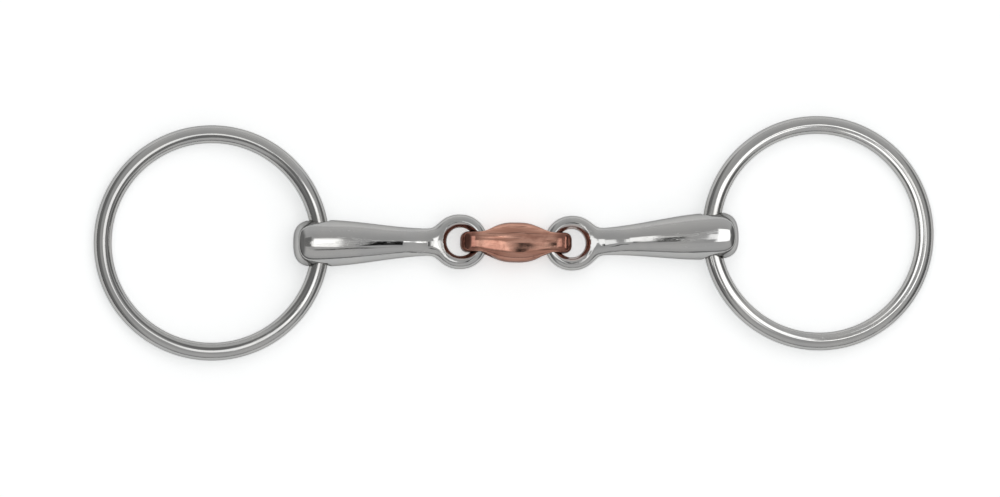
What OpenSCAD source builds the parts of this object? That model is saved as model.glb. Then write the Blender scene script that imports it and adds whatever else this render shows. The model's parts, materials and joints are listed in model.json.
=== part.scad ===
// Double-jointed loose ring snaffle: two rings, two arms and a centre link.
// X runs along the mouthpiece, Y along the ring holes, Z up from the table that
// the bit lies on. The origin is under the middle of the bit's box.

/* [Rings] */
// Inside diameter of each ring
ring_inner_d = 66.6; // [60:0.1:80]
// Diameter of the ring's round wire
ring_wire_d = 6; // [5:0.5:6.5]

/* [Arms] */
// Clear width of the mouthpiece between the two rings
mouth_w = 125; // [115:1:150]
// Greatest diameter of an arm, just inside its ring hole
arm_end_d = 15.7; // [15.2:0.1:18]
// Smallest diameter of an arm, at the neck of its eye
arm_neck_d = 9.1; // [8.5:0.1:9.5]
// How much wider the ring hole is than the wire
ring_hole_play = 1.6; // [1.4:0.1:1.8]

/* [Arm eyes] */
// Outside diameter of the eye
eye_outer_d = 18.3; // [17.9:0.1:18.5]
// Diameter of the eye's throat
eye_hole_d = 9.3; // [9.2:0.1:9.6]
// Thickness of the eye's bar
eye_t = 5.6; // [5:0.1:5.8]
// Radius of the hollow blend from neck to eye
eye_blend_r = 6; // [5:0.1:7]
// How far the eye's outline is drawn out towards the neck
eye_lead = 0.5; // [0.3:0.1:0.8]

/* [Centre link] */
// Length of the link from tip to tip
link_l = 37.9; // [37:0.1:42]
// Diameter of the link's round belly
link_belly_d = 13.9; // [13:0.1:14.5]
// Width of the link at its two tips
link_end_w = 6.6; // [6.2:0.1:7]
// Thickness of the link at its two holed ends
link_end_t = 12; // [11.6:0.1:12.4]
// Diameter of the link's two holes
link_hole_d = 7; // [6.9:0.1:7.2]
// Metal between a hole and the tip
link_tip_wall = 3.75; // [3.5:0.05:4]

/* [Rest pose] */
// How far the left arm lies turned on the table
left_arm_yaw = 1.4; // [-4:0.1:4]
// How far the right arm lies turned on the table
right_arm_yaw = 3.6; // [-4:0.1:4]
// How far each ring lies turned in its hole
ring_yaw = -1.1; // [-1.5:0.1:1.5]

/* [Hidden] */
$fn = 72;
small_fn = 24; // for the small rounded sections
far = 60; // reach of a cutter that has to pass right through

steel = "silver";
copper = "#b8735a";

// Rings
wire_r = ring_wire_d / 2;
ring_r = ring_inner_d / 2 + wire_r; // centreline of the wire
ring_hole_r = (ring_wire_d + ring_hole_play) / 2;
arm_r = arm_end_d / 2;
// The wire curves inside its straight hole, so it sits half its rise off the hole's axis
wire_rise = arm_r * arm_r / (2 * ring_r);
wire_offset = wire_rise / 2;

// Arm, along -X from the centre of its eye
neck_r = arm_neck_d / 2;
eye_r = eye_outer_d / 2;
throat_r = eye_hole_d / 2;
bar_hw = (eye_r - throat_r) / 2; // half width of the eye's bar
bar_r = (eye_r + throat_r) / 2;  // centreline of the eye's bar
bar_flat = eye_t / 2 - bar_hw;   // straight part of the bar's side, each way from the middle
lead_arc = 160;                  // angle over which the eye's outline is drawn out
arm_tip = arm_r + 0.8;           // from the ring hole's axis to the end of the arm
shoulder_l = 8.5;                // length of the arm's rounded end
shoulder_power = 3;              // how square that end is

// Link, along X from its middle
hole_r = link_hole_d / 2;
fold_x = link_l / 2 - link_tip_wall - hole_r; // the link's holes, which the arms fold about
end_hw = link_end_w / 2;
end_r = link_end_t / 2;
belly_r = link_belly_d / 2;
waist_x = 8.8;       // where the belly has dropped halfway to the ends' width
waist_power = 3.2;   // how suddenly it drops
belly_l = 10.8;      // half length of the belly
merge_x = 6.6;       // where the belly starts to sink into the flat ends
sink_rate = 0.12;    // how fast it sinks from there
merge_inset = 0.3;   // how far the slab lies inside the belly
slab_hw = 4.9;       // half width of the slab
section_r = 3.1;     // rounding of the slab's long edges
side_r = end_r - 0.1; // rounding of the slab's ends, seen from the side
tip_corner = 3.2;    // length of the tip's rounding, seen from above
tip_x = link_l / 2 - tip_corner;
tip_power = 2.6;     // how square the tip is
hole_flare = 1.7;    // rounding of the holes' mouths
mouth_hw = end_hw + 0.35; // where the mouths end, from the middle

ring_hole_s = mouth_w / 2 + wire_r + wire_offset - fold_x - bar_r; // eye to ring hole
arm_l = ring_hole_s + arm_tip;
widest_s = arm_l - shoulder_l;
// Where the blend leaves the neck
neck_s = eye_lead + sqrt(pow(eye_r + eye_blend_r, 2) - pow(neck_r + eye_blend_r, 2));

// How the pieces lie on the table
link_z = belly_r;
arm_tilt = asin((arm_r - link_z) / (bar_r + widest_s));
ring_hole_z = link_z + (bar_r + ring_hole_s) * sin(arm_tilt);
ring_tilt = asin((ring_hole_z - wire_r) / (2 * ring_r - wire_offset));

function smooth(t) = let (u = min(max(t, 0), 1)) u * u * (3 - 2 * u);
function turn_y(a, p) = [p.x * cos(a) + p.z * sin(a), p.y, p.z * cos(a) - p.x * sin(a)];
function turn_z(a, p) = [p.x * cos(a) - p.y * sin(a), p.x * sin(a) + p.y * cos(a), p.z];

// A point or direction of a ring, on the side where sign is -1 (left) or 1 (right),
// carried by ring tilt, arm yaw and arm tilt
function lay(sign, yaw, p) =
    turn_y(-sign * arm_tilt, turn_z(yaw, turn_y(sign * (ring_tilt + arm_tilt), p)));
function ring_centre(sign, yaw) =
    [sign * fold_x, 0, link_z]
    + turn_y(-sign * arm_tilt, [sign * bar_r, 0, 0] + turn_z(yaw, [sign * ring_hole_s, 0, 0]))
    + lay(sign, yaw, turn_z(ring_yaw, [sign * (ring_r - wire_offset), 0, 0]));
// Half the size of a ring's box along axis k
function ring_reach(sign, yaw, k) =
    ring_r * sqrt(1 - pow(lay(sign, yaw, [0, 0, 1])[k], 2)) + wire_r;
function box_end(sign, yaw, k, way) = ring_centre(sign, yaw)[k] + way * ring_reach(sign, yaw, k);

mid_x = (box_end(-1, left_arm_yaw, 0, -1) + box_end(1, right_arm_yaw, 0, 1)) / 2;
mid_y = (min(box_end(-1, left_arm_yaw, 1, -1), box_end(1, right_arm_yaw, 1, -1))
    + max(box_end(-1, left_arm_yaw, 1, 1), box_end(1, right_arm_yaw, 1, 1))) / 2;

// ---- Ring ----

module ring() {
    color(steel)
        rotate_extrude()
            translate([ring_r, 0])
                circle(r = wire_r, $fn = 2 * small_fn);
}

// ---- Arm ----

// Radius of the arm at s from the eye's centre: neck, swelling body, rounded end
function body_r(s) =
    s > widest_s
        ? arm_r * pow(max(1 - pow((s - widest_s) / shoulder_l, shoulder_power), 0), 1 / shoulder_power)
        : neck_r + (arm_r - neck_r) * smooth((s - eye_r) / (widest_s - eye_r));
// The neck thins to the thickness of the eye
function neck_drop(s) = (neck_r - eye_t / 2) * (1 - smooth((s - bar_r) / (neck_s - bar_r)));

// A turned body: neck, swell and rounded end
module arm_body() {
    steps = 30;
    rotate([0, 90, 0])
        rotate_extrude()
            polygon(concat([[0, -bar_r]],
                [for (i = [0:steps])
                    let (u = sin(90 * i / steps), s = bar_r + (arm_l - bar_r) * u)
                        [max(body_r(s) - neck_drop(s), 0), -s]]));
}

// Half of the eye bar's section: a square with two round ends
module bar_section() {
    for (way = [-1, 1])
        translate([bar_r, way * bar_flat])
            circle(r = bar_hw, $fn = small_fn);
    translate([bar_r - bar_hw, -bar_flat])
        square([2 * bar_hw, 2 * bar_flat]);
}

// The eye's bar, whose outline is drawn out towards the neck
module eye_ring() {
    rotate_extrude()
        bar_section();
    translate([-eye_lead, 0, 0])
        rotate([0, 0, 180 - lead_arc / 2])
            rotate_extrude(angle = lead_arc)
                bar_section();
}

// Clears the throat out to the inner side of the eye's bar
module throat_cut() {
    rotate_extrude()
        difference() {
            translate([0, -far / 2])
                square([bar_r, far]);
            bar_section();
        }
}

// The hollow corners between neck and eye, with a rounded edge all along
module blend_web() {
    corner = eye_t / 2;
    lead = [-eye_lead, 0];
    touch = lead + eye_r / (eye_r + eye_blend_r) * ([-neck_s, neck_r + eye_blend_r] - lead);
    difference() {
        linear_extrude(height = eye_t, center = true)
            polygon([[-bar_r / 2, 0], touch, [-neck_s, neck_r], [-neck_s, -neck_r],
                [touch.x, -touch.y]]);
        for (way = [-1, 1])
            translate([-neck_s, way * (neck_r + eye_blend_r), 0])
                rotate_extrude()
                    difference() {
                        translate([0, -far / 2])
                            square([eye_blend_r + corner, far]);
                        translate([eye_blend_r + corner, 0])
                            circle(r = corner, $fn = small_fn);
                    }
    }
}

module arm() {
    color(steel)
        difference() {
            union() {
                arm_body();
                eye_ring();
                blend_web();
            }
            throat_cut();
            translate([-ring_hole_s, 0, 0])
                rotate([90, 0, 0])
                    cylinder(r = ring_hole_r, h = far, center = true);
        }
}

// ---- Centre link ----

// Half width of the link seen from above: a full belly that runs out into two tapered ends
function link_hw(x) = end_hw + (belly_r - end_hw) / (1 + pow(abs(x) / waist_x, waist_power));
// How far the tip has rounded off, from 1 down to 0
function tip_round(x) =
    pow(max(1 - pow(max(abs(x) - tip_x, 0) / tip_corner, tip_power), 0), 1 / tip_power);
// The belly dips below the flat ends where they take over
function belly_at(x) = link_hw(x) - sink_rate * pow(max(abs(x) - merge_x, 0), 2);
function slab_at(x) = (link_hw(x) - merge_inset * (1 - smooth(abs(x) / fold_x))) * tip_round(x);

module link_belly() {
    steps = 28;
    rotate([0, 90, 0])
        rotate_extrude()
            polygon(concat([[0, -belly_l]],
                [for (i = [0:steps]) let (x = belly_l * (2 * i / steps - 1)) [belly_at(x), x]],
                [[0, belly_l]]));
}

// Flat ends with rounded edges: a slab cut to its outline from above, from the side and end on
module link_slab() {
    steps = 22;
    half = link_l / 2;
    plan = [for (i = [0:steps]) let (x = half * sin(90 * i / steps)) [x, slab_at(x)]];
    intersection() {
        linear_extrude(height = far, center = true)
            for (way = [0, 1])
                mirror([way, 0])
                    polygon(concat(plan, [for (i = [steps - 1:-1:0]) [plan[i].x, -plan[i].y]]));
        rotate([90, 0, 0])
            linear_extrude(height = far, center = true)
                rounded_box([2 * half, 2 * end_r], side_r);
        rotate([90, 0, 90])
            linear_extrude(height = far, center = true)
                rounded_box([2 * slab_hw, 2 * end_r], section_r);
    }
}

module rounded_box(size, r) {
    square([size.x, size.y - 2 * r], center = true);
    square([size.x - 2 * r, size.y], center = true);
    for (i = [-1, 1], j = [-1, 1])
        translate([i * (size.x / 2 - r), j * (size.y / 2 - r)])
            circle(r = r, $fn = small_fn);
}

// A hole along Y. On the tip's side its mouths open out in a quarter round, for the eye's curve
module link_hole() {
    cutter_x = hole_r + hole_flare + 1;
    rotate([90, 0, 0])
        cylinder(r = hole_r, h = far, center = true);
    intersection() {
        rotate([90, 0, 0])
            for (way = [0, 1])
                mirror([0, 0, way])
                    translate([0, 0, mouth_hw - hole_flare])
                        rotate_extrude()
                            difference() {
                                square([hole_r + hole_flare, far / 2]);
                                translate([hole_r + hole_flare, 0])
                                    circle(r = hole_flare, $fn = small_fn);
                            }
        translate([0, -far / 2, -far / 2])
            cube([cutter_x, far, far]);
    }
}

module centre_link() {
    color(copper)
        difference() {
            union() {
                link_belly();
                link_slab();
            }
            for (way = [0, 1])
                mirror([way, 0, 0])
                    translate([fold_x, 0, 0])
                        link_hole();
        }
}

// ---- Where each piece lies ----

module on_table() {
    translate([-mid_x, -mid_y, 0]) children();
}

// The left arm is the arm as drawn; the right one is the same piece, turned round
module lay_arm(sign, yaw) {
    translate([sign * fold_x, 0, link_z])
        rotate([0, -sign * arm_tilt, 0])
            translate([sign * bar_r, 0, 0])
                rotate([0, 0, yaw + (sign > 0 ? 180 : 0)])
                    children();
}

module lay_ring(sign, yaw) {
    lay_arm(sign, yaw)
        translate([-ring_hole_s, 0, 0])
            rotate([0, -(ring_tilt + arm_tilt), 0])
                rotate([0, 0, ring_yaw])
                    translate([wire_offset - ring_r, 0, 0])
                        children();
}

on_table() lay_ring(-1, left_arm_yaw) ring();  // left_ring
on_table() lay_arm(-1, left_arm_yaw) arm();  // left_arm
on_table() translate([0, 0, link_z]) centre_link();
on_table() lay_arm(1, right_arm_yaw) arm();  // right_arm
on_table() lay_ring(1, right_arm_yaw) ring();  // right_ring
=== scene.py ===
"""Looks for the loose ring snaffle: polished steel rings and arms, and a copper centre link."""
import math

import bpy
import numpy as np
from mathutils import Matrix, Vector
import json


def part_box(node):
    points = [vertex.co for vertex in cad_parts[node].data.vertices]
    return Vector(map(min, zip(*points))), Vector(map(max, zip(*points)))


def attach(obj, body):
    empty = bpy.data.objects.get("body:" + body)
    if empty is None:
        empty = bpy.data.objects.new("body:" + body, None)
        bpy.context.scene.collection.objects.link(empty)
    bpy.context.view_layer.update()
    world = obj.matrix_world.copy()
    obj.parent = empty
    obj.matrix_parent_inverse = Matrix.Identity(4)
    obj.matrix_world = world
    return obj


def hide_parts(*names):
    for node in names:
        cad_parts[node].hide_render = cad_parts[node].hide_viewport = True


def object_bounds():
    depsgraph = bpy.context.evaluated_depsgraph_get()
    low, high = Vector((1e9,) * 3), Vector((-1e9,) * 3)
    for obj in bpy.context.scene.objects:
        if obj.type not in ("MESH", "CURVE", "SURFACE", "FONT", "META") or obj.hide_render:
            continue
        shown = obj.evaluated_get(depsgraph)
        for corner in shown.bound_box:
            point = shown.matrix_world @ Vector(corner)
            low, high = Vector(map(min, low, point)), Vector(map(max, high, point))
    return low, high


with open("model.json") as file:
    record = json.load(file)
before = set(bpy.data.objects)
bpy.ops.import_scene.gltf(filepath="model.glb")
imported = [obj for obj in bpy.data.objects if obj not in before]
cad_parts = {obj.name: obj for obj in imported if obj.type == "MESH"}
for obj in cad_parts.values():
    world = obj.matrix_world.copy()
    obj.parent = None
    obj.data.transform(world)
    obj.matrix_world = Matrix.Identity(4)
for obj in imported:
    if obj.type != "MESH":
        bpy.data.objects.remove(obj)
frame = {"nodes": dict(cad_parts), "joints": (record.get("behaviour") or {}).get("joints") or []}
cad_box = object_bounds()

MM = 0.001
JOINTS = {joint["name"]: joint for joint in frame["joints"]}

# Rings, in millimetres
WIRE_R = 3.0
RUB_TURN = math.radians(22)     # how far each way the wire is rubbed by its hole

# Arms, in millimetres. s runs from the middle of the eye to the ring hole
EYE_OUTER_R = 9.15
EYE_THROAT_R = 4.65
EYE_HALF_T = 2.8
EYE_BAR_R = (EYE_OUTER_R + EYE_THROAT_R) / 2
EYE_CREST_R = 6.65      # the eye is thickest here
EYE_LEAD = 0.5          # how far the eye is drawn out towards the neck
EYE_OUTSIDE_POWER = 2.0     # how square the bar's section is outside its crest
EYE_INSIDE_POWER = 1.7      # and inside it
NECK_R = 4.55
ARM_R = 7.85
ARM_TIP = 8.65          # from the ring hole's axis to the arm's end
SHOULDER_L = 8.5        # how far the arm's end takes to round off
SHOULDER_POWER = 3.0
RING_HOLE_R = 3.8
NECK_FLAT = 2.2         # the neck is flattened out to this many eye radii
NECK_BLEND = 3.6        # rounding between the neck and the eye
THROAT_ROUND = 0.5      # rounding of the throat's edge
RING_HOLE_ROUND = 0.4   # and of the ring hole's
ARM_CELL = 0.4          # size of the grid that the arm is meshed from

# Centre link, in millimetres
LINK_BELLY_R = 6.95
LINK_END_HW = 3.3
LINK_END_R = 6.0
LINK_HOLE_R = 3.5
LINK_WAIST = 8.8
LINK_WAIST_POWER = 3.2
LINK_PLAN_R = 3.0       # rounding of the ends' corners, seen from above
LINK_END_ROUND = 2.0    # rounding of the edges of its outline seen from the side
LINK_PLAN_ROUND = 1.5   # and of its outline seen from above
LINK_HOLE_ROUND = 2.4   # and of the holes' mouths
LINK_CELL = 0.33        # size of the grid that the link is meshed from


# ---- Fields: negative inside a solid, and close to a distance in millimetres near its surface ----

def smooth(t):
    t = np.clip(t, 0, 1)
    return t * t * (3 - 2 * t)


def blend_union(a, b, width):
    """The smaller of two fields, with the corner between them rounded over about that width."""
    h = np.maximum(width - np.abs(a - b), 0) / width
    return np.minimum(a, b) - h ** 3 * width / 6


def blend_cut(a, b, width):
    """What is inside a and outside b, with the new edge rounded over about that width."""
    return -blend_union(-a, b, width)


def superellipse(u, v, power):
    return (np.abs(u) ** power + np.abs(v) ** power) ** (1 / power)


def arm_field(p, hole_s):
    """The arm, with its eye at the origin and its ring hole's axis along y at x = hole_s."""
    s, y, z = p[:, 0], p[:, 1], p[:, 2]
    widest = hole_s + ARM_TIP - SHOULDER_L
    radius = NECK_R + (ARM_R - NECK_R) * smooth((s - EYE_OUTER_R) / (widest - EYE_OUTER_R))
    # the neck flattens to the thickness of the eye
    flat = EYE_HALF_T / NECK_R
    squash_z = 1 + (1 / flat - 1) * (1 - smooth((s - EYE_BAR_R) / (NECK_FLAT * EYE_OUTER_R - EYE_BAR_R)))
    rho = np.hypot(y, z * squash_z)
    along = np.maximum(s - widest, 0) / SHOULDER_L
    end = (superellipse(along, rho / ARM_R, SHOULDER_POWER) - 1) * ARM_R
    body = np.where(s > widest, end, rho - radius)
    body = np.maximum(body, EYE_BAR_R - s)

    # the eye's bar: steep towards the throat, sloping gently to the outside, drawn out at the neck
    lead_s = s - np.clip(s, 0, EYE_LEAD)
    outside = np.maximum(np.hypot(lead_s, y) - EYE_CREST_R, 0) / (EYE_OUTER_R - EYE_CREST_R)
    inside = np.maximum(EYE_CREST_R - np.hypot(s, y), 0) / (EYE_CREST_R - EYE_THROAT_R)
    outer = (superellipse(outside, z / EYE_HALF_T, EYE_OUTSIDE_POWER) - 1) * (EYE_OUTER_R - EYE_CREST_R)
    inner = (superellipse(inside, z / EYE_HALF_T, EYE_INSIDE_POWER) - 1) * (EYE_CREST_R - EYE_THROAT_R)
    arm = blend_union(body, np.maximum(outer, inner), NECK_BLEND)
    arm = blend_cut(arm, np.hypot(s, y) - EYE_THROAT_R, THROAT_ROUND)
    hole = np.hypot(s - hole_s, z) - RING_HOLE_R
    return blend_cut(arm, hole, RING_HOLE_ROUND)


def link_half_width(x):
    return LINK_END_HW + (LINK_BELLY_R - LINK_END_HW) / (1 + (np.abs(x) / LINK_WAIST) ** LINK_WAIST_POWER)


def link_field(p, hole_x, half_l):
    """The centre link: a full belly between two flat ends, with a hole along y in each end."""
    x, y, z = p[:, 0], p[:, 1], p[:, 2]
    half_w = link_half_width(x)
    half_h = LINK_END_R + (LINK_BELLY_R - LINK_END_R) * (1 - smooth(np.abs(x) / hole_x))
    # the section is nearly round at the belly and squarer at the ends
    power = 2.15 + 0.75 * smooth((np.abs(x) - 4) / 8)
    body = (superellipse(y / half_w, z / half_h, power) - 1) * np.minimum(half_w, half_h)
    tip_x = half_l - LINK_END_R
    over = np.maximum(np.abs(x) - tip_x, 0)
    round_end = np.hypot(over, z) - LINK_END_R
    plan = np.hypot(np.maximum(np.abs(x) - (half_l - LINK_PLAN_R), 0),
                    np.maximum(np.abs(y) - (half_w - LINK_PLAN_R), 0)) - LINK_PLAN_R
    body = blend_cut(body, -round_end, LINK_END_ROUND)
    body = blend_cut(body, -plan, LINK_PLAN_ROUND)
    for way in (-1, 1):
        hole = np.hypot(x - way * hole_x, z) - LINK_HOLE_R
        body = blend_cut(body, hole, LINK_HOLE_ROUND)
    return body


# ---- Meshing a field ----

def gradient(field, p, h=0.01):
    out = np.empty_like(p)
    for k in range(3):
        step = np.zeros(3)
        step[k] = h
        out[:, k] = (field(p + step) - field(p - step)) / (2 * h)
    return out


def outward_of(field, p):
    """The direction out of the solid at each point."""
    g = gradient(field, p)
    return g / np.linalg.norm(g, axis=1)[:, None]


def net(field, low, high, cell):
    """Points and quads of a field's zero surface: one point in each grid cell that it crosses."""
    low = np.asarray(low, float)
    count = np.ceil((np.asarray(high, float) - low) / cell).astype(int) + 1
    axes = [low[k] + cell * np.arange(count[k]) for k in range(3)]
    grid = np.stack(np.meshgrid(*axes, indexing="ij"), -1)
    value = field(grid.reshape(-1, 3)).reshape(count)
    inside = value < 0

    total = np.zeros(tuple(count - 1) + (3,))
    crossings = np.zeros(tuple(count - 1))
    quads = []
    index = np.arange(np.prod(count - 1)).reshape(count - 1)
    for k in range(3):
        a = [slice(None)] * 3
        b = [slice(None)] * 3
        a[k], b[k] = slice(0, -1), slice(1, None)
        va, vb = value[tuple(a)], value[tuple(b)]
        crossed = (va < 0) != (vb < 0)
        t = np.where(crossed, va / np.where(va == vb, 1, va - vb), 0)
        point = grid[tuple(a)] + (t * cell)[..., None] * np.eye(3)[k]
        i, j = [n for n in range(3) if n != k]
        for di in (0, 1):
            for dj in (0, 1):
                # the edge belongs to the four cells around it
                pick = [slice(None)] * 3
                pick[i] = slice(di, di + count[i] - 1)
                pick[j] = slice(dj, dj + count[j] - 1)
                own = crossed[tuple(pick)]
                total += np.where(own[..., None], point[tuple(pick)], 0)
                crossings += own
        inner = [slice(None)] * 3
        inner[i], inner[j] = slice(1, count[i] - 1), slice(1, count[j] - 1)
        here = np.argwhere(crossed[tuple(inner)])
        here[:, i] += 1
        here[:, j] += 1
        corners = []
        for di, dj in ((1, 1), (0, 1), (0, 0), (1, 0)):
            c = here.copy()
            c[:, i] -= di
            c[:, j] -= dj
            corners.append(index[c[:, 0], c[:, 1], c[:, 2]])
        corners = np.stack(corners, 1)
        outward = inside[here[:, 0], here[:, 1], here[:, 2]]
        if k == 1:
            outward = ~outward
        corners[~outward] = corners[~outward][:, ::-1]
        quads.append(corners)
    quads = np.concatenate(quads)
    used, flat = np.unique(quads, return_inverse=True)
    points = (total.reshape(-1, 3)[used]) / crossings.reshape(-1)[used][:, None]
    return points, flat.reshape(quads.shape)


def project(field, p, times):
    """Moves points onto the field's zero surface."""
    for _ in range(times):
        g = gradient(field, p)
        p = p - (field(p) / np.maximum((g * g).sum(1), 1e-6))[:, None] * g
    return p


def settle(field, points, quads, rounds=12):
    """Evens the points out along the surface, keeping each exactly on it."""
    points = project(field, points, 6)
    for _ in range(rounds):
        total = np.zeros_like(points)
        count = np.zeros(len(points))
        for a, b in ((0, 1), (1, 2), (2, 3), (3, 0)):
            for u, v in ((a, b), (b, a)):
                np.add.at(total, quads[:, u], points[quads[:, v]])
                np.add.at(count, quads[:, u], 1)
        n = outward_of(field, points)
        step = 0.5 * (total / count[:, None] - points)
        step -= (step * n).sum(1)[:, None] * n
        points = project(field, points + step, 1)
    return project(field, points, 3)


def place_mesh(name, points, quads, normals, place, node, material, grain, rubbed_and_hole_shade, painted_shade_and_reflection):
    """A shaded mesh from points in millimetres, put in place by a matrix whose units are metres.

    grain is the polishing pattern's coordinate at each point. The next mask is 1 where metal runs on metal
    in a hole: worn by rubbing there, and darkened as painted shade. The last is 1 where colour is painted
    darker:
    a painted brown reflection of the copper on the eyes' throats, painted shade on the link's near side, and
    the link's darker ends.
    """
    rotate = np.array(place.to_3x3())
    world = points * MM @ rotate.T + np.array(place.translation)
    mesh = bpy.data.meshes.new(name)
    mesh.from_pydata(world.tolist(), [], quads.tolist())
    mesh.polygons.foreach_set("use_smooth", [True] * len(mesh.polygons))
    mesh.materials.append(material)
    mesh.update()
    mesh.normals_split_custom_set_from_vertices((normals @ rotate.T).tolist())
    lay = mesh.attributes.new("grain", "FLOAT_VECTOR", "POINT")
    lay.data.foreach_set("vector", np.ascontiguousarray(grain, np.float32).ravel())
    for key, value in (("rubbed_and_hole_shade", rubbed_and_hole_shade), ("painted_shade_and_reflection", painted_shade_and_reflection)):
        layer = mesh.attributes.new(key, "FLOAT", "POINT")
        layer.data.foreach_set("value", np.ascontiguousarray(value, np.float32))
    made = bpy.data.objects.new(name, mesh)
    bpy.context.scene.collection.objects.link(made)
    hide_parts(node)
    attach(made, node)


def unit(v):
    return v / np.linalg.norm(v)


def matrix_from(origin, x, y, z):
    place = Matrix((x, y, z)).transposed().to_4x4()
    place.translation = Vector(origin)
    return place


# ---- Pieces ----

def make_ring(side, material):
    """A torus through the CAD ring's own centre, plane and radius."""
    node = side + "_ring"
    cad = np.array([v.co for v in frame["nodes"][node].data.vertices], float)
    middle = (cad.max(0) + cad.min(0)) / 2
    normal = np.linalg.svd(cad - cad.mean(0), full_matrices=False)[2][2]
    normal = normal if normal[2] > 0 else -normal
    along = unit(np.cross([0, 1, 0], normal))
    across = np.cross(normal, along)
    reach = np.linalg.norm(cad - middle, axis=1).max() / MM
    radius = reach - WIRE_R
    turns, sides = 512, 64
    u = np.arange(turns) * 2 * math.pi / turns
    v = np.arange(sides) * 2 * math.pi / sides
    cu, su = np.cos(u)[:, None], np.sin(u)[:, None]
    cv, sv = np.cos(v)[None, :], np.sin(v)[None, :]
    normals = np.stack([cu * cv, su * cv, sv + 0 * cu], -1).reshape(-1, 3)
    points = normals * WIRE_R + np.stack([cu + 0 * cv, su + 0 * cv, 0 * cu * cv], -1).reshape(-1, 3) * radius
    i, j = np.meshgrid(np.arange(turns), np.arange(sides), indexing="ij")
    i2, j2 = (i + 1) % turns, (j + 1) % sides
    quads = np.stack([i * sides + j, i2 * sides + j, i2 * sides + j2, i * sides + j2], -1).reshape(-1, 4)
    place = matrix_from(middle, along, across, normal)
    turn, tube = np.repeat(u, sides), np.tile(v, turns)
    # the polishing runs along the wire, so its pattern changes slowly along it and quickly round it
    grain = np.stack([np.cos(tube) * WIRE_R, np.sin(tube) * WIRE_R, np.cos(turn) * 2.5], -1)
    # the wire is rubbed where it runs in its arm's hole, on the side towards the link, and darkened there as
    # painted shade
    inward = 0 if side == "left" else math.pi
    rubbed_and_hole_shade = smooth((np.cos(turn - inward) - math.cos(RUB_TURN)) / (1 - math.cos(RUB_TURN)))
    place_mesh(side + "_ring_steel", points, quads, normals, place, node, material,
               grain, rubbed_and_hole_shade, 0 * rubbed_and_hole_shade)


def arm_place(side):
    """The arm's own frame, and how far its ring hole is from its eye.

    The eye is at the origin, x runs towards the ring hole and y along that hole.
    """
    sign = 1 if side == "right" else -1
    fold = np.array(JOINTS[side + "_fold"]["pos_m"])
    hole = np.array(JOINTS[side + "_ring_swing"]["pos_m"])
    y = unit(np.array(JOINTS[side + "_ring_swing"]["axis"]))
    reach = hole - fold
    z = unit(sign * np.array([-reach[2], 0, reach[0]]))
    x = np.cross(y, z) * sign
    # the eye's bar runs through the link's hole, so the eye's middle is one bar radius from it
    side_step = reach - (reach @ x) * x
    hole_s = reach @ x - math.sqrt((EYE_BAR_R * MM) ** 2 - side_step @ side_step)
    eye = hole - hole_s * x
    return matrix_from(eye, x, np.cross(z, x), z), hole_s / MM


def make_arm(side, material):
    place, hole_s = arm_place(side)
    field = lambda p: arm_field(p, hole_s)
    low = (-EYE_OUTER_R - 1, -EYE_OUTER_R - 1, -ARM_R - 1)
    high = (hole_s + ARM_TIP + 1, EYE_OUTER_R + 1, ARM_R + 1)
    points, quads = net(field, low, high, ARM_CELL)
    points = settle(field, points, quads)
    normals = outward_of(field, points)
    grain = points * (0.07, 1.0, 1.0)
    # the ring hole's wall is worn by rubbing, and darkened as painted shade
    hole = np.hypot(points[:, 0] - hole_s, points[:, 2])
    rubbed_and_hole_shade = smooth((RING_HOLE_R + 0.6 - hole) / 0.5)
    # painted brown reflection of the copper link, with painted shade, on the throat's wall
    painted_shade_and_reflection = smooth((EYE_CREST_R - 0.25 - np.hypot(points[:, 0], points[:, 1])) / 0.6)
    place_mesh(side + "_arm_steel", points, quads, normals, place, side + "_arm", material,
               grain, rubbed_and_hole_shade, painted_shade_and_reflection)


def make_link(material):
    left, right = (np.array(JOINTS[side + "_fold"]["pos_m"]) for side in ("left", "right"))
    hole_x = np.linalg.norm(right - left) / 2 / MM
    low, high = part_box("centre_link")
    half_l = (high.x - low.x) / 2 / MM
    field = lambda p: link_field(p, hole_x, half_l)
    reach = np.array([half_l + 1, LINK_BELLY_R + 1, LINK_BELLY_R + 1])
    points, quads = net(field, -reach, reach, LINK_CELL)
    points = settle(field, points, quads)
    normals = outward_of(field, points)
    place = Matrix.Translation(Vector((left + right) / 2))
    grain = points * (0.12, 1.0, 1.0)
    # painted shade round the holes' mouths, where the eyes run
    hole = np.hypot(np.abs(points[:, 0]) - hole_x, points[:, 2])
    rubbed_and_hole_shade = smooth((LINK_HOLE_R + 1.2 - hole) / 1.2)
    # darker towards the ends, and painted shade on the near side
    painted_shade_and_reflection = smooth((np.abs(points[:, 0]) - hole_x + 0.5) / 4)
    painted_shade_and_reflection = np.maximum(painted_shade_and_reflection, 0.5 * smooth((-points[:, 1] - 1.5) / 4))
    place_mesh("centre_link_copper", points, quads, normals, place, "centre_link", material,
               grain, rubbed_and_hole_shade, painted_shade_and_reflection)


# ---- Materials ----

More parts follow.
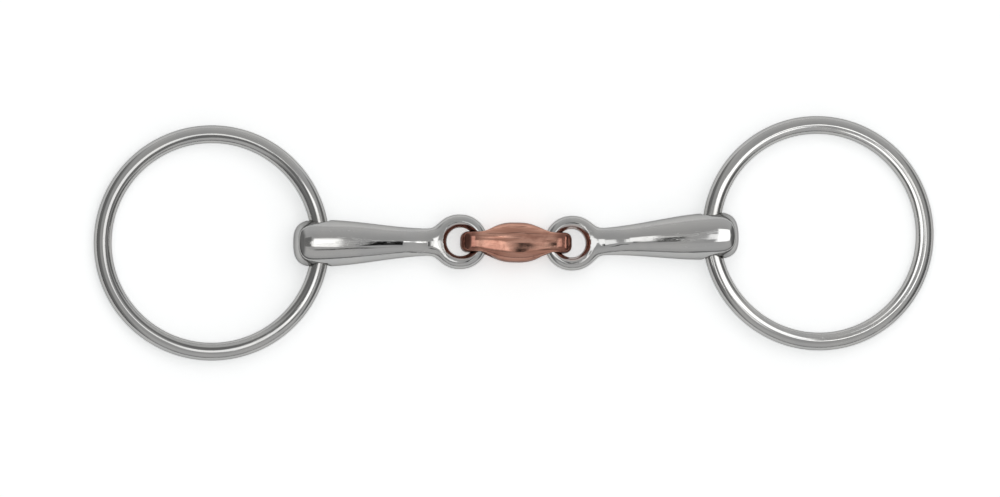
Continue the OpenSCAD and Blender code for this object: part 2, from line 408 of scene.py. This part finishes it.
class Shader:
    """A new metal material, with short ways to add and join its nodes."""

    def __init__(self, name):
        self.material = bpy.data.materials.new(name)
        self.material.use_nodes = True
        self.tree = self.material.node_tree
        self.surface = self.tree.nodes["Principled BSDF"]

    def plug(self, source, socket):
        if isinstance(source, bpy.types.NodeSocket):
            self.tree.links.new(source, socket)
        else:
            socket.default_value = source

    def add(self, kind, inputs, **settings):
        made = self.tree.nodes.new("ShaderNode" + kind)
        for key, value in settings.items():
            setattr(made, key, value)
        for key, value in inputs.items():
            self.plug(value, made.inputs[key])
        return made

    def attribute(self, name, output):
        return self.add("Attribute", {}, attribute_name=name).outputs[output]

    def place(self):
        return self.add("TexCoord", {}).outputs["Object"]

    def noise(self, where, scale, detail=3.0, distortion=0.0):
        inputs = {"Vector": where, "Scale": scale, "Detail": detail, "Distortion": distortion}
        return self.add("TexNoise", inputs).outputs["Fac"]

    def ramp(self, value, low, high, to_low, to_high):
        inputs = {"Value": value, "From Min": low, "From Max": high, "To Min": to_low, "To Max": to_high}
        return self.add("MapRange", inputs, interpolation_type="SMOOTHSTEP").outputs[0]

    def math(self, operation, a, b):
        return self.add("Math", {0: a, 1: b}, operation=operation).outputs[0]

    def mix(self, amount, a, b):
        made = self.add("Mix", {}, data_type="RGBA")
        for value, key in ((amount, 0), (a, 6), (b, 7)):
            self.plug(value, made.inputs[key])
        return made.outputs[2]

    def bump(self, height, depth, under=None):
        """Relief of the given depth in metres, on top of any earlier relief."""
        inputs = {"Height": height, "Strength": 1.0, "Distance": depth}
        if under is not None:
            inputs["Normal"] = under
        return self.add("Bump", inputs).outputs[0]

    def scratches(self, where, scale, share):
        """Hair lines: 1 on thin winding lines, where a noise crosses its middle value, else 0."""
        level = self.math("ABSOLUTE", self.math("SUBTRACT", self.noise(where, scale, 2.0, 0.4), 0.5), 0.0)
        patch = self.ramp(self.noise(where, scale * 0.37, 1.0), 0.5, 0.62, 0.0, 1.0)
        return self.math("MULTIPLY", self.ramp(level, 0.0, share, 1.0, 0.0), patch)


def polished_steel():
    """Hand-polished stainless steel: long polishing lines, faint smears, hair scratches, joints dulled by
    rubbing and darkened as painted shade, and a painted brown reflection of the copper link on the eyes'
    throats.
    """
    steel = Shader("polished_steel")
    where, grain = steel.place(), steel.attribute("grain", "Vector")
    rubbed_and_hole_shade, painted_shade_and_reflection = steel.attribute("rubbed_and_hole_shade", "Fac"), steel.attribute("painted_shade_and_reflection", "Fac")
    smear = steel.noise(where, 85.0, 4.0, 0.6)
    lines = steel.noise(grain, 2.6, 4.0)
    scratch = steel.scratches(grain, 0.9, 0.012)
    swirl = steel.scratches(where, 260.0, 0.01)

    tone = steel.ramp(smear, 0.3, 0.7, 0.0, 1.0)
    colour = steel.mix(tone, (0.56, 0.56, 0.555, 1), (0.60, 0.595, 0.58, 1))
    # painted shade in the holes, darker where metal runs on metal
    colour = steel.mix(steel.math("MULTIPLY", rubbed_and_hole_shade, 0.55), colour, (0.42, 0.41, 0.39, 1))
    # a painted brown reflection of the copper link, with painted shade, on the eyes' throats
    brown = steel.mix(tone, (0.60, 0.53, 0.51, 1), (0.70, 0.63, 0.60, 1))
    colour = steel.mix(painted_shade_and_reflection, colour, brown)
    steel.plug(colour, steel.surface.inputs["Base Color"])

    rough = steel.ramp(smear, 0.35, 0.75, 0.055, 0.10)
    rough = steel.math("ADD", rough, steel.ramp(lines, 0.4, 0.7, 0.0, 0.05))
    rough = steel.math("ADD", rough, steel.math("MULTIPLY", scratch, 0.18))
    rough = steel.math("ADD", rough, steel.math("MULTIPLY", rubbed_and_hole_shade, 0.16))
    steel.plug(rough, steel.surface.inputs["Roughness"])

    relief = steel.bump(steel.noise(grain, 0.42, 1.0), 9e-5)
    relief = steel.bump(lines, 4e-6, relief)
    relief = steel.bump(scratch, -6e-6, relief)
    relief = steel.bump(swirl, -3e-6, relief)
    steel.plug(relief, steel.surface.inputs["Normal"])
    steel.surface.inputs["Metallic"].default_value = 1.0
    # a grey edge tint: painted shade on the steel's edges, for the shadowed floor that they reflect
    steel.surface.inputs["Specular Tint"].default_value = (0.55, 0.55, 0.55, 1)
    return steel.material


def polished_copper():
    """Copper with a soft polish: streaks along it, darker towards its ends, painted shade on its near side
    and round its holes, and small knocks.
    """
    copper = Shader("polished_copper")
    where, grain = copper.place(), copper.attribute("grain", "Vector")
    rubbed_and_hole_shade, painted_shade_and_reflection = copper.attribute("rubbed_and_hole_shade", "Fac"), copper.attribute("painted_shade_and_reflection", "Fac")
    cloud = copper.noise(where, 210.0, 5.0, 0.8)
    streak = copper.noise(grain, 0.62, 4.0, 0.8)
    scratch = copper.scratches(grain, 1.3, 0.02)
    knock = copper.add("TexVoronoi", {"Vector": where, "Scale": 520.0}).outputs["Distance"]
    knock = copper.ramp(knock, 0.05, 0.22, 1.0, 0.0)
    knock = copper.math("MULTIPLY", knock, copper.ramp(copper.noise(where, 130.0, 1.0), 0.52, 0.6, 0.0, 1.0))

    tone = copper.ramp(streak, 0.35, 0.65, 0.0, 1.0)
    colour = copper.mix(tone, (0.62, 0.31, 0.225, 1), (0.78, 0.43, 0.325, 1))
    colour = copper.mix(copper.ramp(cloud, 0.5, 0.75, 0.0, 0.55), colour, (0.36, 0.15, 0.11, 1))
    line = copper.ramp(copper.noise(grain, 0.5, 2.0, 1.6), 0.60, 0.66, 0.0, 0.6)
    colour = copper.mix(line, colour, (0.16, 0.07, 0.055, 1))
    # darker towards the ends, and painted shade on the near side
    colour = copper.mix(copper.math("MULTIPLY", painted_shade_and_reflection, 0.75), colour, (0.17, 0.065, 0.05, 1))
    # near black round the holes' mouths: painted shade
    colour = copper.mix(copper.math("MULTIPLY", rubbed_and_hole_shade, 0.8), colour, (0.10, 0.045, 0.035, 1))
    copper.plug(colour, copper.surface.inputs["Base Color"])

    rough = copper.ramp(cloud, 0.3, 0.7, 0.08, 0.15)
    rough = copper.math("ADD", rough, copper.ramp(streak, 0.45, 0.7, 0.0, 0.05))
    rough = copper.math("ADD", rough, copper.math("MULTIPLY", scratch, 0.12))
    copper.plug(rough, copper.surface.inputs["Roughness"])

    relief = copper.bump(copper.noise(grain, 0.4, 1.0), 2.4e-4)
    relief = copper.bump(streak, 6e-6, relief)
    relief = copper.bump(knock, -1.2e-5, relief)
    relief = copper.bump(scratch, -6e-6, relief)
    copper.plug(relief, copper.surface.inputs["Normal"])
    copper.surface.inputs["Metallic"].default_value = 1.0
    # a grey edge tint: painted shade on the copper's edges, for the shadowed floor that they reflect
    copper.surface.inputs["Specular Tint"].default_value = (0.6, 0.6, 0.6, 1)
    return copper.material


# ---- Studio ----

FLOOR_GLOW = 0.43           # the white surface is lit a little from below
FLOOR_GLOW_IN_METAL = 0.15  # and this much of that shows in the metal

# The room's grey against the height in it, at the front and sides, and at the back
HORIZON_STOPS = ((0.0, 0.12), (0.07, 0.14), (0.14, 0.50), (0.45, 0.58), (0.75, 0.56), (0.9, 0.45))
BACK_STOPS = ((0.0, 0.62), (0.2, 0.60), (0.45, 0.56), (0.7, 0.50), (0.9, 0.45))

# The softboxes and cards that the metal reflects: name, place and size in metres, glow, and the
# share of its width that each edge takes to fade. One with no glow is black. They are set for the
# camera's own view, from above.
PANELS = (
    ("softbox_left", (-0.0535, -0.006, 0.11), (0.047, 0.09), 1.75, 0.14),
    ("softbox_right", (0.091, 0.0015, 0.05), (0.044, 0.052), 2.0, 0.08),
    ("softbox_link", (0.032, 0, 0.05), (0.018, 0.026), 1.5, 0.16),
    ("softbox_middle", (-0.018, -0.045, 0.40), (0.305, 0.20), 1.35, 0.08),
    ("softbox_far", (0.215, 0.007, 0.40), (0.19, 0.07), 2.2, 0.25),
    ("grey_left", (-0.093, 0, 0.06), (0.036, 0.05), 0.2, 0.1),
    ("grey_middle", (0.04, -0.03, 0.30), (0.07, 0.20), 0.5, 0.1),
    ("black_middle", (0.025, -0.033, 0.185), (0.024, 0.11), 0, 0.2),
    ("black_rim_left", (-0.035, -0.075, 0.11), (0.09, 0.016), 0, 0.3),
)


def make_camera():
    """A long lens, looking down at the bit from a little to its left and its near side."""
    data = bpy.data.cameras.new("camera")
    data.sensor_width = 36
    made = bpy.data.objects.new("camera", data)
    bpy.context.scene.collection.objects.link(made)
    distance, view_width = 5.0, 0.3338
    lean_left, lean_near, roll = math.radians(5.2), math.radians(3.7), math.radians(0.4)
    away = Vector((-math.tan(lean_left), -math.tan(lean_near), 1)).normalized()
    data.lens = data.sensor_width * distance / view_width
    data.clip_end = 20
    low, high = cad_box
    middle = (Vector(low) + Vector(high)) / 2
    aim = Vector((middle.x - 5.2 * MM, middle.y - 3.6 * MM, 6 * MM))
    right = Vector((0, 1, 0)).cross(away).normalized()
    up = away.cross(right)
    turn = Matrix.Rotation(roll, 3, away)
    right, up = turn @ right, turn @ up
    made.matrix_world = matrix_from(aim + away * distance, right, up, away)
    bpy.context.scene.camera = made


def make_floor():
    """A white surface, lit a little from below as well, as a light table is."""
    size = 30
    mesh = bpy.data.meshes.new("floor")
    corners = [(-size, -size, 0), (size, -size, 0), (size, size, 0), (-size, size, 0)]
    mesh.from_pydata(corners, [], [(0, 1, 2, 3)])
    white = Shader("floor_white")
    look = {"Base Color": (0.93, 0.93, 0.93, 1), "Roughness": 0.9, "Specular IOR Level": 0.1,
            "Emission Color": (0.98, 1, 1, 1)}
    for key, value in look.items():
        white.surface.inputs[key].default_value = value
    # the metal sees less of the glow, so that its edges stay dark against the white
    glossy = white.add("LightPath", {}).outputs["Is Glossy Ray"]
    glow = white.ramp(glossy, 0.0, 1.0, FLOOR_GLOW, FLOOR_GLOW_IN_METAL)
    white.plug(glow, white.surface.inputs["Emission Strength"])
    mesh.materials.append(white.material)
    made = bpy.data.objects.new("floor", mesh)
    bpy.context.scene.collection.objects.link(made)


def panel(name, place, size, glow, soft):
    """A level softbox or card that fades out towards its edges, unseen by the camera."""
    mesh = bpy.data.meshes.new(name)
    w, h = size[0] / 2, size[1] / 2
    mesh.from_pydata([(-w, -h, 0), (w, -h, 0), (w, h, 0), (-w, h, 0)], [], [(0, 1, 2, 3)])
    material = bpy.data.materials.new(name)
    material.use_nodes = True
    tree = material.node_tree
    tree.nodes.clear()
    out = tree.nodes.new("ShaderNodeOutputMaterial")
    emit = tree.nodes.new("ShaderNodeEmission")
    clear = tree.nodes.new("ShaderNodeBsdfTransparent")
    mix = tree.nodes.new("ShaderNodeMixShader")
    where = tree.nodes.new("ShaderNodeTexCoord")
    split = tree.nodes.new("ShaderNodeSeparateXYZ")
    tree.links.new(where.outputs["Generated"], split.inputs[0])
    edges = []
    for axis in ("X", "Y"):
        # 1 in the middle, falling smoothly to 0 at both edges
        middle = tree.nodes.new("ShaderNodeMath")
        middle.operation = "PINGPONG"
        middle.inputs[1].default_value = 0.5
        tree.links.new(split.outputs[axis], middle.inputs[0])
        fade = tree.nodes.new("ShaderNodeMapRange")
        fade.interpolation_type = "SMOOTHSTEP"
        fade.inputs["From Max"].default_value = soft
        tree.links.new(middle.outputs[0], fade.inputs["Value"])
        edges.append(fade)
    both = tree.nodes.new("ShaderNodeMath")
    both.operation = "MULTIPLY"
    tree.links.new(edges[0].outputs[0], both.inputs[0])
    tree.links.new(edges[1].outputs[0], both.inputs[1])
    emit.inputs["Strength"].default_value = glow
    tree.links.new(both.outputs[0], mix.inputs[0])
    tree.links.new(clear.outputs[0], mix.inputs[1])
    tree.links.new(emit.outputs[0], mix.inputs[2])
    tree.links.new(mix.outputs[0], out.inputs["Surface"])
    mesh.materials.append(material)
    made = bpy.data.objects.new(name, mesh)
    bpy.context.scene.collection.objects.link(made)
    made.location = place
    # the panels only show in the metal: the lamp lights the floor
    made.visible_camera = False
    made.visible_shadow = False
    made.visible_diffuse = False


def lamp(name, place, size, watts):
    """A soft overhead lamp that lights the floor and doesn't show in the metal."""
    data = bpy.data.lights.new(name, "AREA")
    data.size = size
    data.energy = watts
    made = bpy.data.objects.new(name, data)
    bpy.context.scene.collection.objects.link(made)
    made.location = place
    made.rotation_euler = (-Vector(place)).to_track_quat("-Z", "Y").to_euler()
    made.visible_glossy = False


def make_world():
    """A grey room: a dark line on the horizon except at the back, and darker to the left and right."""
    world = bpy.data.worlds.new("studio")
    world.use_nodes = True
    bpy.context.scene.world = world
    tree = world.node_tree
    background = tree.nodes["Background"]
    where = tree.nodes.new("ShaderNodeTexCoord")
    split = tree.nodes.new("ShaderNodeSeparateXYZ")
    tree.links.new(where.outputs["Generated"], split.inputs[0])

    def grey_ramp(stops):
        ramp = tree.nodes.new("ShaderNodeValToRGB")
        tree.links.new(split.outputs["Z"], ramp.inputs[0])
        while len(ramp.color_ramp.elements) < len(stops):
            ramp.color_ramp.elements.new(0.5)
        for element, (at, grey) in zip(ramp.color_ramp.elements, stops):
            element.position = at
            element.color = (grey, grey, grey, 1)
        return ramp.outputs[0]

    def fade(source, low, high, to_low):
        made = tree.nodes.new("ShaderNodeMapRange")
        made.interpolation_type = "SMOOTHSTEP"
        made.inputs["From Min"].default_value = low
        made.inputs["From Max"].default_value = high
        made.inputs["To Min"].default_value = to_low
        tree.links.new(split.outputs[source], made.inputs["Value"])
        return made.outputs[0]

    front, back = grey_ramp(HORIZON_STOPS), grey_ramp(BACK_STOPS)
    mix = tree.nodes.new("ShaderNodeMix")
    mix.data_type = "RGBA"
    for source, key in ((fade("Y", 0.0, 0.3, 0.0), 0), (front, 6), (back, 7)):
        tree.links.new(source, mix.inputs[key])
    tree.links.new(mix.outputs[2], background.inputs[0])
    left, right = fade("X", -0.75, -0.45, 0.35), fade("X", 0.85, 0.7, 0.3)
    sides = tree.nodes.new("ShaderNodeMath")
    sides.operation = "MULTIPLY"
    tree.links.new(left, sides.inputs[0])
    tree.links.new(right, sides.inputs[1])
    tree.links.new(sides.outputs[0], background.inputs[1])


def make_studio():
    make_floor()
    make_world()
    lamp("lamp_over", place=(0.1, 0.2, 1.6), size=1.6, watts=7.4)
    for row in PANELS:
        panel(*row)
    bpy.context.scene.view_settings.view_transform = "Standard"


make_camera()
make_studio()
steel = polished_steel()
copper = polished_copper()
for side in ("left", "right"):
    make_ring(side, steel)
    make_arm(side, steel)
make_link(copper)
